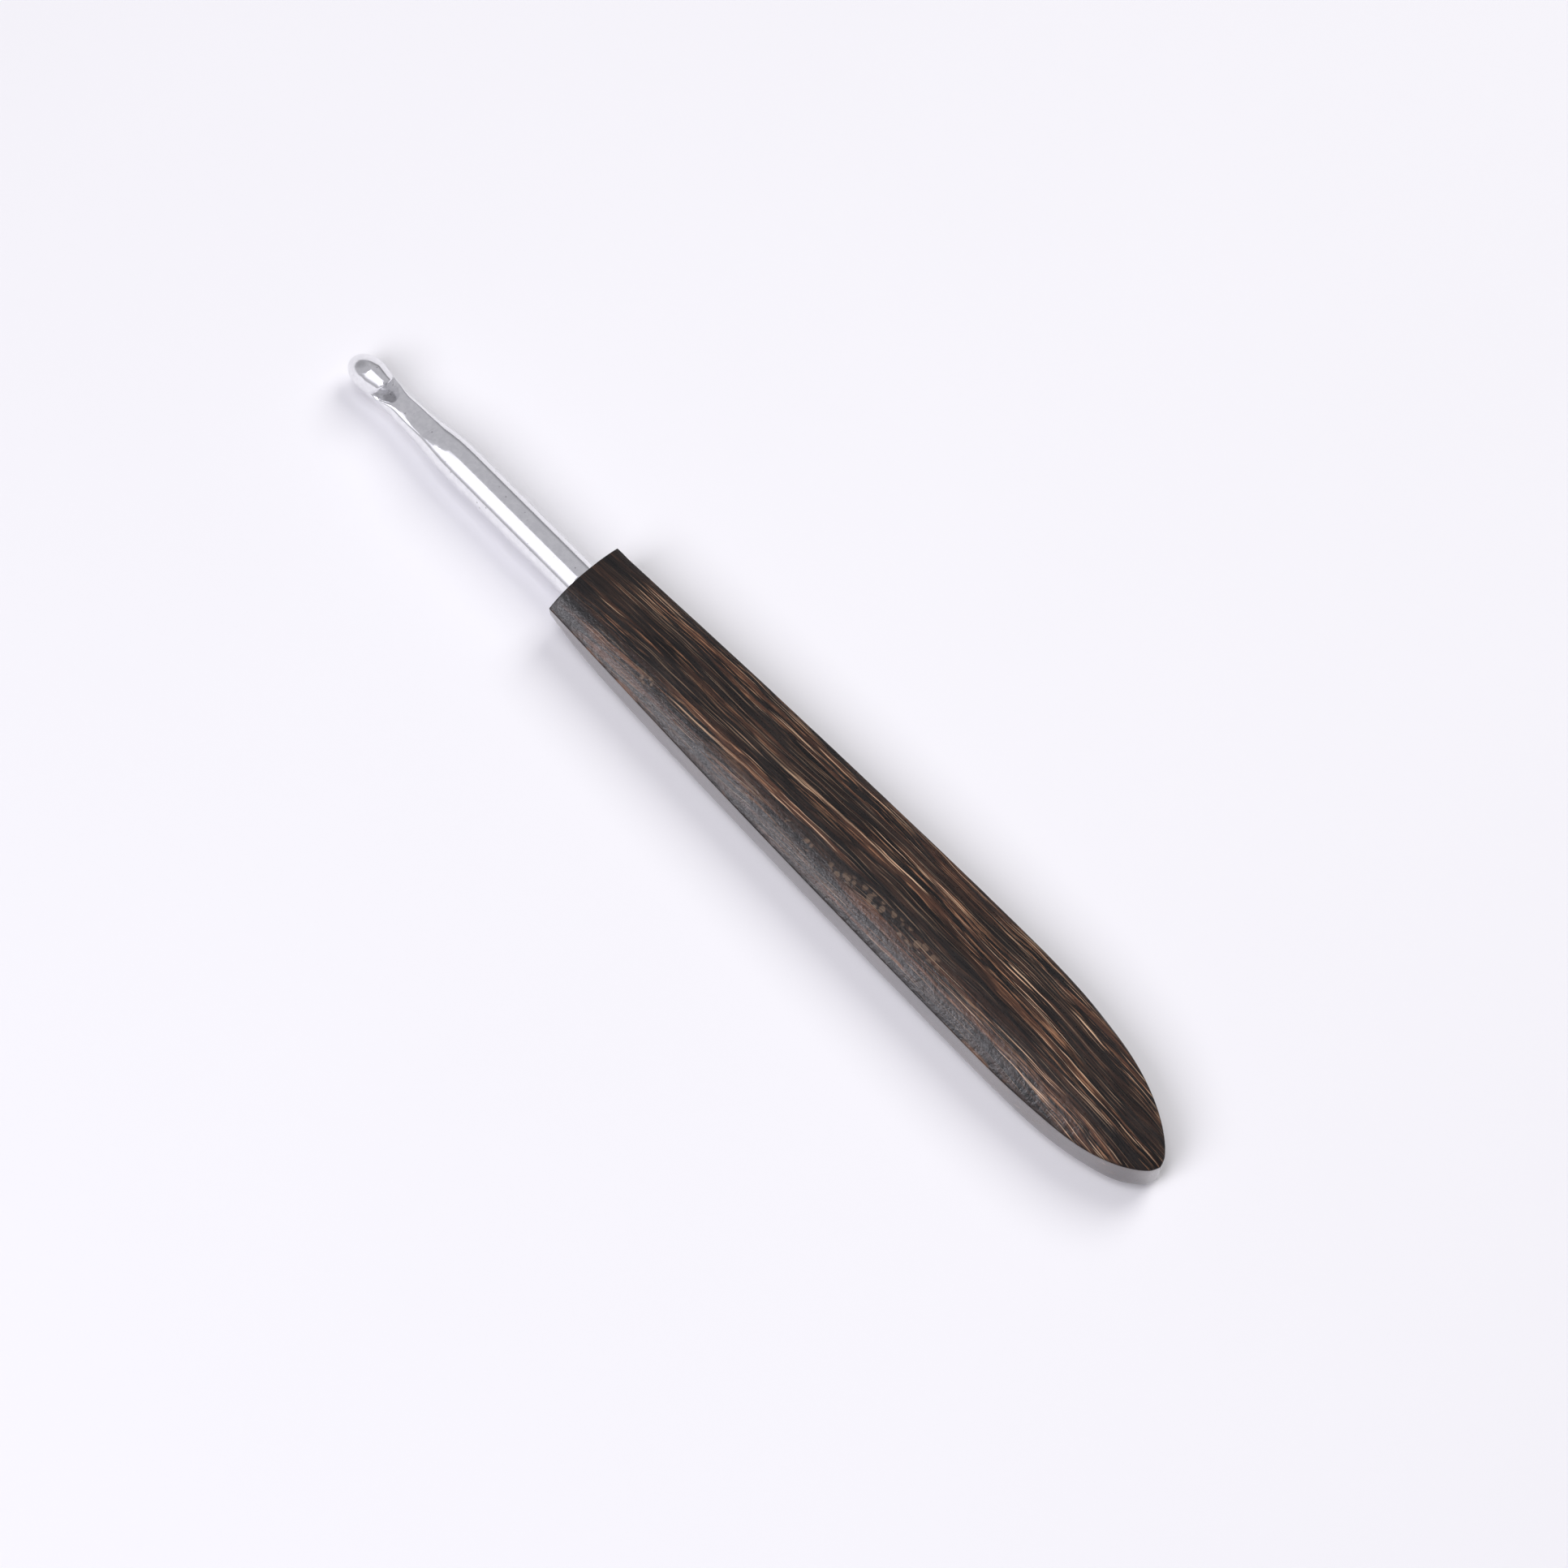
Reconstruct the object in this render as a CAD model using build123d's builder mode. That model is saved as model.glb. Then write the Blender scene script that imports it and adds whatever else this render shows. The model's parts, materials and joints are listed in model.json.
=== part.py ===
from build123d import *
from math import exp
import os

# Crochet hook: a one-piece aluminium hook glued into a flat, shaped hardwood handle.
# Frame: +X runs from the handle's tail to the hook's tip, +Z is the side the mouth opens on,
# and the origin is under the middle of the whole length, at the lowest point of the handle.
# Lengths are in millimetres. "From the tip" and "from the nose" are distances towards -X.

# ---- driving dimensions ----
total_length = 140.8
exposed_hook = 42.4  # tip to the handle's front face
shaft_diameter = 5.0  # the hook's size

# handle
wall_height = 4.85  # straight side wall between the two creases
crown_height = 2.2  # rise of the top face where the handle is widest, and of the bottom face up to the tail
underside_flat = 0.2  # sanded off the lowest part of the bottom crown, so that it lies still
nose_half_width = 5.62
full_half_width = 7.3
taper_power = 1.7
point_offset = 1.2  # the hand-shaped point sits to the +Y side of the centreline
near_tail_length = 24.6  # ogive of the +Y side
far_tail_length = 36.6  # ogive of the -Y side
ogive_power = 3.6
ogive_roundness = 1.4
point_blunting = 0.2  # cut off the ogive's virtual point
nose_corner_radius = 4.0  # lower side corners at the front face
corner_decay = 4.2  # length over which those corners sharpen
crease_radius = 0.16  # lower corners along the rest of the handle
front_edge_radius = 0.35

# hook
tang_length = 30.0
tang_diameter = 4.1  # the shaft's shoulder seats on the handle's front face
tang_chamfer = 0.4
head_half_width = 2.19
head_half_height = 2.37
head_lift = -0.1  # head's axis above the shaft's axis
tip_length = 3.0  # rounding of the tip's outline from above
brow_length = 3.8  # rounding of the tip's outline from the side
brow_power = 1.7  # below 2 makes that outline flatter and the tip more pointed
straight_from_tip = 21.0  # the full-diameter shaft starts here
lip_from_tip = 6.2
lip_height = 1.3
flat_start = 10.0
flat_end = 11.6
flat_height = 0.88  # above the shaft's axis
throat_height = 0.08
throat_from_tip = 6.8
ramp_from_tip = 14.2
ramp_height = 1.45
run_out_from_tip = 16.6

# adhesive
bond_thickness = 0.1
bond_pad = 1.5  # glue behind the tang's end

# ---- derived positions ----
shaft_radius = shaft_diameter / 2
handle_length = total_length - exposed_hook
tip_x = total_length / 2
nose_x = tip_x - exposed_hook
lower_crease_z = crown_height - underside_flat
upper_crease_z = lower_crease_z + wall_height
shaft_z = (lower_crease_z + upper_crease_z) / 2
tang_radius = tang_diameter / 2
bore_radius = tang_radius + bond_thickness
bore_depth = tang_length + bond_pad

# distances from the tip of the rounded tip's cross-sections
tip_stations = [0.04, 0.15, 0.35, 0.7, 1.2, 1.8, 2.4]

# distance from the tip, half width, half height, lift of the centre above the shaft's axis
neck_sections = [
    (tip_length, head_half_width, head_half_height, head_lift),
    (4.0, 2.13, 2.37, -0.1),
    (5.0, 1.98, 2.3, -0.13),
    (6.2, 1.81, 2.15, -0.24),
    (7.4, 1.76, 1.98, -0.42),
    (8.8, 1.77, 1.85, -0.59),
    (10.1, 1.83, 1.83, -0.66),
    (11.8, 1.88, 1.88, -0.58),
    (13.6, 1.98, 1.98, -0.41),
    (15.3, 2.17, 2.17, -0.21),
    (17.0, 2.35, 2.35, -0.08),
    (18.6, 2.46, 2.46, -0.02),
    (20.0, 2.49, 2.49, 0.0),
    (straight_from_tip, shaft_radius, shaft_radius, 0.0),
]

# distances from the nose of the handle's cross-sections
handle_stations = [0, 2.5, 6, 11, 20, 34, 48, 60, 70, 78, 84, 88.5, 92, 94.5, 96.3, 97.5]


def body_half_width(distance):
    # half width of the long taper, without the pointed tail
    taper_length = handle_length - near_tail_length
    remaining = max(0.0, 1 - distance / taper_length)
    return nose_half_width + (full_half_width - nose_half_width) * (1 - remaining**taper_power)


def side_y(distance, side):
    # y of one side of the outline: side is +1 or -1
    tail_length = near_tail_length if side > 0 else far_tail_length
    apex = handle_length + point_blunting
    along = max(0.0, 1 - (apex - distance) / tail_length)
    closing = (1 - along**ogive_power) ** (1 / ogive_roundness)
    return point_offset + (side * body_half_width(distance) - point_offset) * closing


def handle_section(distance):
    # crowned top and bottom, straight side walls, lower corners rounder towards the nose
    near = side_y(distance, 1)
    far = side_y(distance, -1)
    middle = (near + far) / 2
    crown = crown_height * (near - far) / (2 * full_half_width)
    belly = crown_height * min(1, (near - far) / (2 * nose_half_width))
    corner = crease_radius + nose_corner_radius * exp(-distance / corner_decay)
    with BuildSketch(Plane.YZ.offset(nose_x - distance)) as section:
        with BuildLine():
            ThreePointArc((far, upper_crease_z), (middle, upper_crease_z + crown), (near, upper_crease_z))
            Line((near, upper_crease_z), (near, lower_crease_z))
            ThreePointArc((near, lower_crease_z), (middle, lower_crease_z - belly), (far, lower_crease_z))
            Line((far, lower_crease_z), (far, upper_crease_z))
        make_face()
        fillet(section.vertices().group_by(Axis.Y)[0], radius=corner)
    return section.sketch


os.makedirs("parts", exist_ok=True)

# ---- handle: lofted cross-sections with a blind bore in the front face ----
with BuildPart() as handle:
    loft(sections=[handle_section(station) for station in handle_stations + [handle_length]])
    front_face = handle.faces().sort_by(Axis.X)[-1]
    fillet(front_face.edges(), radius=front_edge_radius)
    split(bisect_by=Plane.XY, keep=Keep.TOP)
    with BuildSketch(Plane.YZ.offset(nose_x)):
        with Locations((0, shaft_z)):
            Circle(bore_radius)
    extrude(amount=-bore_depth, mode=Mode.SUBTRACT)
handle.part.label = "handle"
export_step(handle.part, "parts/handle.step")


def tip_section(from_tip):
    # half width and half height of the rounded tip
    half_width = head_half_width * (1 - (1 - from_tip / tip_length) ** 2) ** 0.5
    brow = (1 - (1 - from_tip / brow_length) ** brow_power) ** (1 / brow_power)
    return (from_tip, half_width, head_half_height * brow, head_lift)


def spot(from_tip, height):
    # point in the hook's XZ plane
    return (tip_x - from_tip, shaft_z + height)


# ---- hook: round-nosed head, waisted neck, straight shaft and glued tang ----
with BuildPart() as hook:
    # tang and straight shaft
    with BuildSketch(Plane.YZ.offset(nose_x)):
        with Locations((0, shaft_z)):
            Circle(tang_radius)
    extrude(amount=-tang_length)
    chamfer(hook.edges().sort_by(Axis.X)[0], length=tang_chamfer)
    with BuildSketch(Plane.YZ.offset(nose_x)):
        with Locations((0, shaft_z)):
            Circle(shaft_radius)
    extrude(amount=exposed_hook - straight_from_tip)
    # head and neck
    for from_tip, half_width, half_height, lift in [tip_section(t) for t in tip_stations] + neck_sections:
        with BuildSketch(Plane.YZ.offset(tip_x - from_tip)):
            with Locations((0, shaft_z + lift)):
                Ellipse(half_width, half_height)
    loft()
    # throat and flat, cut from the top right across
    with BuildSketch(Plane.XZ):
        with BuildLine():
            lip = Line(spot(lip_from_tip - 0.3, shaft_diameter), spot(lip_from_tip, lip_height))
            throat = Spline(
                lip @ 1,
                spot(lip_from_tip + 0.4, throat_height + 0.2),
                spot(throat_from_tip, throat_height),
                spot(flat_start, flat_height),
                tangents=[(lip % 1), (-1, 0)],
            )
            flat = Line(throat @ 1, spot(flat_end, flat_height))
            run_out = Spline(
                flat @ 1,
                spot(ramp_from_tip, ramp_height),
                spot(run_out_from_tip, shaft_radius),
                tangents=[(-1, 0), (-1, 0.6)],
            )
            Polyline(run_out @ 1, spot(run_out_from_tip, shaft_diameter), lip @ 0)
        make_face()
    extrude(amount=shaft_diameter, both=True, mode=Mode.SUBTRACT)
hook.part.label = "hook"
export_step(hook.part, "parts/hook.step")

# ---- adhesive: thin sleeve round the tang and a pad behind its end ----
with BuildPart() as epoxy_bond:
    with BuildSketch(Plane.YZ.offset(nose_x)):
        with Locations((0, shaft_z)):
            Circle(bore_radius)
    extrude(amount=-bore_depth)
    with BuildSketch(Plane.YZ.offset(nose_x)):
        with Locations((0, shaft_z)):
            Circle(tang_radius)
    extrude(amount=-tang_length, mode=Mode.SUBTRACT)
epoxy_bond.part.label = "epoxy_bond"
export_step(epoxy_bond.part, "parts/epoxy_bond.step")
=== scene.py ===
import json
import math
from types import SimpleNamespace

import bpy
import numpy as np
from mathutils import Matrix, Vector, noise


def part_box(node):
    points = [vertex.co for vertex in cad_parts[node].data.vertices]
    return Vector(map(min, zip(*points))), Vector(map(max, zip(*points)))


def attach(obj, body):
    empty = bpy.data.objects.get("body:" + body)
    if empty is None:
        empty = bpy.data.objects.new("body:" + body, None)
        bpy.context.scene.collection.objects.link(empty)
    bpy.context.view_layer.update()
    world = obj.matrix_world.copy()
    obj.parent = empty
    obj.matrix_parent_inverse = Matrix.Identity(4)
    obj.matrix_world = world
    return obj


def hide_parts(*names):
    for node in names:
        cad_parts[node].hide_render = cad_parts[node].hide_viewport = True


# A wooden-handled crochet hook lying on a pale table, in metres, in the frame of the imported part:
# +X towards the hook's tip, +Z up. Shapes are worked out in millimetres and scaled once, when a
# mesh is made.

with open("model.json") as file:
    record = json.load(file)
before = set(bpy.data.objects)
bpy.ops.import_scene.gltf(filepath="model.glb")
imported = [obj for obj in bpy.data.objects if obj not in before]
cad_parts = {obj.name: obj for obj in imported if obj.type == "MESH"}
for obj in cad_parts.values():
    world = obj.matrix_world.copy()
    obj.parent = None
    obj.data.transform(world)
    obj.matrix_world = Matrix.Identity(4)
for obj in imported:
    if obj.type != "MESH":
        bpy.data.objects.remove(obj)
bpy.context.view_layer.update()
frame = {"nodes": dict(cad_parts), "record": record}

MM = 0.001

# ---- places taken from the frame, in millimetres ----
handle_low, handle_high = (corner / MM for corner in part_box("handle"))
hook_low, hook_high = (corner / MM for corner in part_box("hook"))
bond_low, bond_high = (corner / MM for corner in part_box("epoxy_bond"))
shaft_mount = next(m for m in frame["record"]["mounts"] if m["name"] == "shaft")
SHAFT_Z = shaft_mount["pos_m"][2] / MM
SHAFT_RADIUS = shaft_mount["dims"]["r_mm"]
NOSE_X = handle_high.x
TAIL_X = handle_low.x
TIP_X = hook_high.x
TANG_END_X = hook_low.x
HANDLE_LENGTH = NOSE_X - TAIL_X
EXPOSED_HOOK = TIP_X - NOSE_X
BORE_RADIUS = (bond_high.y - bond_low.y) / 2
BORE_END_X = bond_low.x
BOND_THICKNESS = 0.1  # of the adhesive round the tang
TANG_RADIUS = BORE_RADIUS - BOND_THICKNESS
TANG_CHAMFER = 0.4
TANG_RING = 12.0  # depth in the handle of the ring between the tang's ends

# ---- handle's shape, in millimetres ----
# "From the nose" is the distance from the front face towards -X. The near side is +Y.
WALL_HEIGHT = 4.85  # side wall between the two creases
CROWN_HEIGHT = 2.2  # rise of the top face where the handle is widest
UPPER_CREASE_Z = SHAFT_Z + WALL_HEIGHT / 2
LOWER_CREASE_Z = SHAFT_Z - WALL_HEIGHT / 2
NOSE_HALF_WIDTH = 5.62
FULL_HALF_WIDTH = 7.3
TAPER_POWER = 1.7
POINT_OFFSET = 1.2  # the tail's point sits to the near side of the centreline
NEAR_TAIL = 24.6  # length of the tail's curve on the near side
FAR_TAIL = 36.6  # and on the far side
OGIVE_POWER = 3.6
OGIVE_ROUNDNESS = 1.4
POINT_BLUNTING = 0.2  # cut off that curve's virtual point
NOSE_CORNER = 4.0  # how much rounder the lower corners are at the front face
CORNER_DECAY = 4.2  # length over which they sharpen
LOWER_EDGE_RADIUS = 0.16
UPPER_EDGE_RADIUS = 0.1
NOSE_EASING = 0.1  # rounding of the front face's rim
TAIL_EASING = 0.55  # rounding of the tail's end
BORE_RIM = 0.15  # depth of the bore's ring next to the front face
FAR_CORNER_LEAN = 0.3  # how far the front face's far corner stands forward
FAR_LEAN_LENGTH = 6.0  # distance from the nose at which that has gone

# local changes, as their size, distance from the nose and length
NEAR_LEAN = (0.15, 84.5, 5.0)  # upper near edge drawn in
NEAR_FLARE = (0.35, 96.0, 3.0)  # lower near edge standing out
FAR_RUB = (0.3, 82.5, 3.2)  # upper far edge rubbed off

# most of the handle's width, or of its wall, that the rounding of one edge takes
UPPER_EDGE_SHARE = 0.3
LOWER_EDGE_SHARE = 0.46
LOWER_WALL_SHARE = 0.8
EASING_SHARE = 0.48  # most of the way to the next corner that an easing reaches
CHORD_REACH = 40  # draws the crown's direction at its edge out past any easing

# surface, worked by hand
EDGE_WEAR = 0.05  # rubbed off the upper edges, beyond their radius
SANDED_DEPTH = 0.05
FACET_DEPTH = 0.014
SANDED_AWAY = 0.03  # taken off everywhere behind the rim, to stay inside the frame's box
EVEN_NOSE = 2.0  # distance from the nose over which the unevenness starts

# points round one section of the handle, by stretch
CROWN_POINTS = 37
UPPER_EDGE_POINTS = 6
WALL_POINTS = 7
LOWER_EDGE_POINTS = 9
BOTTOM_POINTS = 21
ARC_POINTS = 81  # of the arcs that the crown and the bottom are picked from

CROWN_SLOT, WALL_SLOT = 0, 1  # the handle's material slots


# ---- mesh helpers ----
def ring_mesh(name, rings, slots=None, edge=None):
    """Smooth-shaded closed tube of quads through rings of points in mm, with a fan at each end.

    slots gives the material slot of the strip after each point of a ring, and edge each point's
    share of a worn edge."""
    rings = np.asarray(rings, float)
    count, around = rings.shape[:2]
    points = [tuple(p * MM) for ring in rings for p in ring]
    faces = []
    for i in range(count - 1):
        for j in range(around):
            k = (j + 1) % around
            faces.append((i * around + j, i * around + k, (i + 1) * around + k, (i + 1) * around + j))
    for row, starts in ((0, True), (count - 1, False)):
        centre = len(points)
        points.append(tuple(rings[row].mean(axis=0) * MM))
        for j in range(around):
            a, b = row * around + j, row * around + (j + 1) % around
            faces.append((centre, b, a) if starts else (centre, a, b))
    mesh = bpy.data.meshes.new(name)
    mesh.from_pydata(points, [], faces)
    mesh.update()
    mesh.polygons.foreach_set("use_smooth", [True] * len(mesh.polygons))
    if slots is not None:
        mesh.polygons.foreach_set("material_index", list(slots) * (count + 1))
    if edge is not None:
        values = np.concatenate([np.tile(edge, count), [0, 0]]).astype(np.float32)
        mesh.attributes.new("edge", "FLOAT", "POINT").data.foreach_set("value", values)
    piece = bpy.data.objects.new(name, mesh)
    bpy.context.scene.collection.objects.link(piece)
    return piece


def smoothstep(low, high, value):
    t = np.clip((np.asarray(value, float) - low) / (high - low), 0, 1)
    return t * t * (3 - 2 * t)


def spread(stops):
    """Stations between (place, step) stops, with the step changing evenly from one stop to the next."""
    places = [stops[0][0]]
    for (start, step), (end, next_step) in zip(stops, stops[1:]):
        count = max(2, round(2 * (end - start) / (step + next_step)))
        growth = (next_step - step) / (next_step + step)
        s = np.linspace(0, 1, count + 1)[1:]
        places += list(start + (end - start) * (s + growth * (s * s - s)))
    return np.array(places)


# ---- handle ----
def body_half_width(along):
    taper_length = HANDLE_LENGTH - NEAR_TAIL
    remaining = max(0.0, 1 - along / taper_length)
    return NOSE_HALF_WIDTH + (FULL_HALF_WIDTH - NOSE_HALF_WIDTH) * (1 - remaining**TAPER_POWER)


def side_y(along, side):
    tail = NEAR_TAIL if side > 0 else FAR_TAIL
    s = max(0.0, 1 - (HANDLE_LENGTH + POINT_BLUNTING - along) / tail)
    closing = (1 - s**OGIVE_POWER) ** (1 / OGIVE_ROUNDNESS)
    return POINT_OFFSET + (side * body_half_width(along) - POINT_OFFSET) * closing


def bowed(y_from, y_to, z, rise):
    """Points of a circular arc over the chord from y_from to y_to at height z, ends included."""
    half = abs(y_to - y_from) / 2
    size = max(abs(rise), 1e-4)
    radius = (half * half + size * size) / (2 * size)
    sweep = math.asin(min(1.0, half / radius))
    angle = sweep * np.linspace(-1, 1, ARC_POINTS)
    lift = radius * np.cos(angle) - (radius - size)
    turn = 1 if y_to > y_from else -1
    y = (y_from + y_to) / 2 + turn * radius * np.sin(angle)
    return np.column_stack([y, z + math.copysign(1, rise) * lift])


def corner_arc(start, corner, end, count):
    """Circular easing between two points whose tangents meet at the corner."""
    back, ahead = start - corner, end - corner
    cosine = np.dot(back, ahead) / max(np.linalg.norm(back) * np.linalg.norm(ahead), 1e-9)
    weight = math.sqrt(max(0.05, (1 - cosine) / 2))
    t = np.linspace(0, 1, count)[:, None]
    blend = (1 - t) ** 2 + 2 * weight * t * (1 - t) + t**2
    return ((1 - t) ** 2 * start + 2 * weight * t * (1 - t) * corner + t**2 * end) / blend


def eased(before, corner, after, reach, count):
    """Circular easing of one corner, starting and ending the given reach away from it."""
    back, ahead = before - corner, after - corner
    start = corner + back * min(EASING_SHARE, reach / max(np.linalg.norm(back), 1e-6))
    end = corner + ahead * min(EASING_SHARE, reach / max(np.linalg.norm(ahead), 1e-6))
    return corner_arc(start, corner, end, count)


def distances(points):
    """Length of each step of a polyline, and each point's distance along it."""
    step = np.linalg.norm(np.diff(points, axis=0), axis=1)
    return step, np.concatenate([[0], np.cumsum(step)])


def resampled(points, start, end, count):
    """Points evenly along a polyline from the point nearest start to the one nearest end."""
    step, reach = distances(points)

    def place(target):
        best, where = 1e9, 0.0
        for i in range(len(points) - 1):
            run = points[i + 1] - points[i]
            share = float(np.clip(np.dot(target - points[i], run) / max(np.dot(run, run), 1e-12), 0, 1))
            gap = np.linalg.norm(points[i] + share * run - target)
            if gap < best:
                best, where = gap, reach[i] + share * step[i]
        return where

    wanted = np.linspace(place(start), place(end), count)
    return np.column_stack([np.interp(wanted, reach, points[:, axis]) for axis in (0, 1)])


def hump(along, size, place, length):
    """A smooth local rise of the given size around one place, in mm."""
    return size * math.exp(-(((along - place) / length) ** 2))


def wear(along, side):
    """How far the upper crease is rubbed off at this distance from the nose, in mm."""
    slow = noise.noise(Vector((along * 0.11, side * 7.3, 2.5)))
    quick = noise.noise(Vector((along * 0.6, side * 3.1, 8.5)))
    rub = UPPER_EDGE_RADIUS + EDGE_WEAR * max(0.0, slow + 0.5 * quick)
    if side < 0:
        rub += hump(along, *FAR_RUB)
    return rub


def handle_section(along, inset=0.0, squeeze=1.0):
    """One closed section of the handle as (y, z) points, from the far upper crease over the crown."""
    near, far = side_y(along, 1), side_y(along, -1)
    crown = CROWN_HEIGHT * (near - far) / (2 * FULL_HALF_WIDTH)
    belly = CROWN_HEIGHT * min(1, (near - far) / (2 * NOSE_HALF_WIDTH))
    middle = (near + far) / 2
    near, far = middle + (near - middle) * squeeze, middle + (far - middle) * squeeze
    drawn_in = hump(along, *NEAR_LEAN) * squeeze
    flared = hump(along, *NEAR_FLARE) * squeeze
    top = bowed(far, near - drawn_in, UPPER_CREASE_Z, crown)
    bottom = bowed(near + flared, far, LOWER_CREASE_Z, -belly * squeeze)
    far_top, near_top = top[0], top[-1]
    near_bottom, far_bottom = bottom[0], bottom[-1]

    far_rub, near_rub = (min(wear(along, side), UPPER_EDGE_SHARE * (near - far)) for side in (-1, 1))
    far_inward = (top[3] - top[0]) * CHORD_REACH
    near_inward = (top[-4] - top[-1]) * CHORD_REACH
    far_upper = eased(far_bottom, far_top, far_top + far_inward, far_rub, UPPER_EDGE_POINTS)
    near_upper = eased(near_top + near_inward, near_top, near_bottom, near_rub, UPPER_EDGE_POINTS)

    rounding = LOWER_EDGE_RADIUS + NOSE_CORNER * math.exp(-along / CORNER_DECAY)
    rounding = min(rounding, LOWER_EDGE_SHARE * (near - far), LOWER_WALL_SHARE * WALL_HEIGHT)
    _, reach = distances(bottom)
    start_bottom, end_bottom = (
        np.array([np.interp(place, reach, bottom[:, axis]) for axis in (0, 1)])
        for place in (rounding, reach[-1] - rounding)
    )
    near_up = (near_top - near_bottom) / np.linalg.norm(near_top - near_bottom)
    far_up = (far_top - far_bottom) / np.linalg.norm(far_top - far_bottom)
    near_lower = corner_arc(near_bottom + near_up * rounding, near_bottom, start_bottom, LOWER_EDGE_POINTS)
    far_lower = corner_arc(end_bottom, far_bottom, far_bottom + far_up * rounding, LOWER_EDGE_POINTS)

    crown_run = resampled(top, far_upper[-1], near_upper[0], CROWN_POINTS)
    bottom_run = resampled(bottom, start_bottom, end_bottom, BOTTOM_POINTS)
    near_wall = np.linspace(near_upper[-1], near_lower[0], WALL_POINTS)
    far_wall = np.linspace(far_lower[-1], far_upper[0], WALL_POINTS)
    runs = [far_upper, crown_run[1:-1], near_upper, near_wall[1:-1]]
    runs += [near_lower, bottom_run[1:-1], far_lower, far_wall[1:-1]]
    section = np.concatenate(runs)
    if inset:
        away = section - np.array([0.0, SHAFT_Z])
        section = section - away / np.linalg.norm(away, axis=1)[:, None] * inset
    return section


def sanded(x, y, z):
    """Height of the handle's hand-sanded unevenness at a place, in mm."""
    broad = noise.noise(Vector((x * 0.045, y * 0.22, z * 0.2 + 4)))
    facet = noise.noise(Vector((x * 0.16, y * 0.5, z * 0.5 + 9)))
    return SANDED_DEPTH * broad + FACET_DEPTH * facet


def build_handle():
    rim = handle_section(0.0, inset=NOSE_EASING)
    angles = np.arctan2(rim[:, 1] - SHAFT_Z, rim[:, 0])
    circle = np.column_stack([BORE_RADIUS * np.cos(angles), SHAFT_Z + BORE_RADIUS * np.sin(angles)])
    rings = [(x, circle) for x in (BORE_END_X, (BORE_END_X + NOSE_X) / 2, NOSE_X - BORE_RIM)]
    bore_rings = len(rings)
    for share in (0.0, 0.06, 0.25, 0.5, 0.75, 0.93, 1.0):
        rings.append((NOSE_X, circle + (rim - circle) * share))
    front_rings = len(rings)
    for turn in (22.5, 45, 67.5):
        a = math.radians(turn)
        depth = NOSE_EASING * (1 - math.cos(a))
        rings.append((NOSE_X - depth, handle_section(depth, inset=NOSE_EASING * (1 - math.sin(a)))))
    tail_start = HANDLE_LENGTH - TAIL_EASING
    stops = [(NOSE_EASING, 0.12), (3, 0.3), (20, 0.42), (76, 0.4), (92, 0.25), (97, 0.12), (tail_start, 0.06)]
    for along in spread(stops):
        rings.append((NOSE_X - along, handle_section(along)))
    for turn in range(6, 85, 6):
        a = math.radians(turn)
        along = tail_start + TAIL_EASING * math.sin(a)
        rings.append((NOSE_X - along, handle_section(along, squeeze=math.cos(a))))

    solid = []
    for index, (x, section) in enumerate(rings):
        ring = np.column_stack([np.full(len(section), x), section])
        along = NOSE_X - x
        if index >= bore_rings:
            far_lean = FAR_CORNER_LEAN * (np.minimum(section[:, 0], 0) / NOSE_HALF_WIDTH) ** 2
            ring[:, 0] += far_lean * (1 - smoothstep(0, FAR_LEAN_LENGTH, along))
        if index >= front_rings:
            fade = float(smoothstep(0, EVEN_NOSE, along))
            lift = np.array([sanded(*p) for p in ring]) * fade
            away = section - section.mean(axis=0)
            away /= np.maximum(np.linalg.norm(away, axis=1)[:, None], 1e-6)
            ring[:, 1:] += away * (lift - SANDED_AWAY)[:, None] * fade
            ring[:, 2] = np.maximum(ring[:, 2], 0)  # the underside lies on the table
        solid.append(ring)

    runs = [(UPPER_EDGE_POINTS, CROWN_SLOT), (CROWN_POINTS - 2, CROWN_SLOT), (UPPER_EDGE_POINTS, CROWN_SLOT)]
    runs += [(WALL_POINTS - 2, WALL_SLOT), (LOWER_EDGE_POINTS, WALL_SLOT), (BOTTOM_POINTS - 2, CROWN_SLOT)]
    runs += [(LOWER_EDGE_POINTS, WALL_SLOT), (WALL_POINTS - 2, WALL_SLOT)]
    slots = [slot for count, slot in runs for _ in range(count)]
    near_edge = UPPER_EDGE_POINTS + CROWN_POINTS - 2
    near_edge_end = near_edge + UPPER_EDGE_POINTS
    slots[near_edge_end - 1] = WALL_SLOT
    edge = np.zeros(len(slots))
    edge[:UPPER_EDGE_POINTS] = 1
    edge[near_edge:near_edge_end] = 1
    return ring_mesh("wooden_handle", solid, slots, edge)


handle = build_handle()


# ---- hook ----
# distance from the tip, half width, lift of the section's centre above the shaft's axis
HOOK_PROFILE = [
    (3.0, 2.19, -0.5),
    (3.7, 2.16, -0.5),
    (4.7, 2.03, -0.5),
    (5.8, 1.86, -0.5),
    (6.8, 1.78, -0.6),
    (8.4, 1.76, -0.7),
    (10.1, 1.83, -0.66),
    (11.8, 1.88, -0.58),
    (13.6, 1.98, -0.41),
    (15.3, 2.17, -0.21),
    (17.0, 2.35, -0.08),
    (18.6, 2.46, -0.02),
    (21.0, SHAFT_RADIUS, 0.0),
    (24.0, SHAFT_RADIUS, 0.0),
]
TIP_REACH = 0.22  # how far the tip's rounding goes past the end of the frame
TIP_REACH_LENGTH = 4.0  # distance from the tip at which that has gone
TIP_LENGTH = 3.0  # rounding of the tip's outline from above
BROW_LENGTH = 3.8  # rounding of the tip's top line
BROW_POWER = 1.36
BROW_HEIGHT = 2.8  # top of the head above its centre line
CHIN_DEPTH = 1.98
CHIN_TO_NECK = (4.7, 5.8)  # where the head's depth turns into the neck's
PEAK_POWER = 1.8  # below 2 makes the head's section peaked
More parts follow.
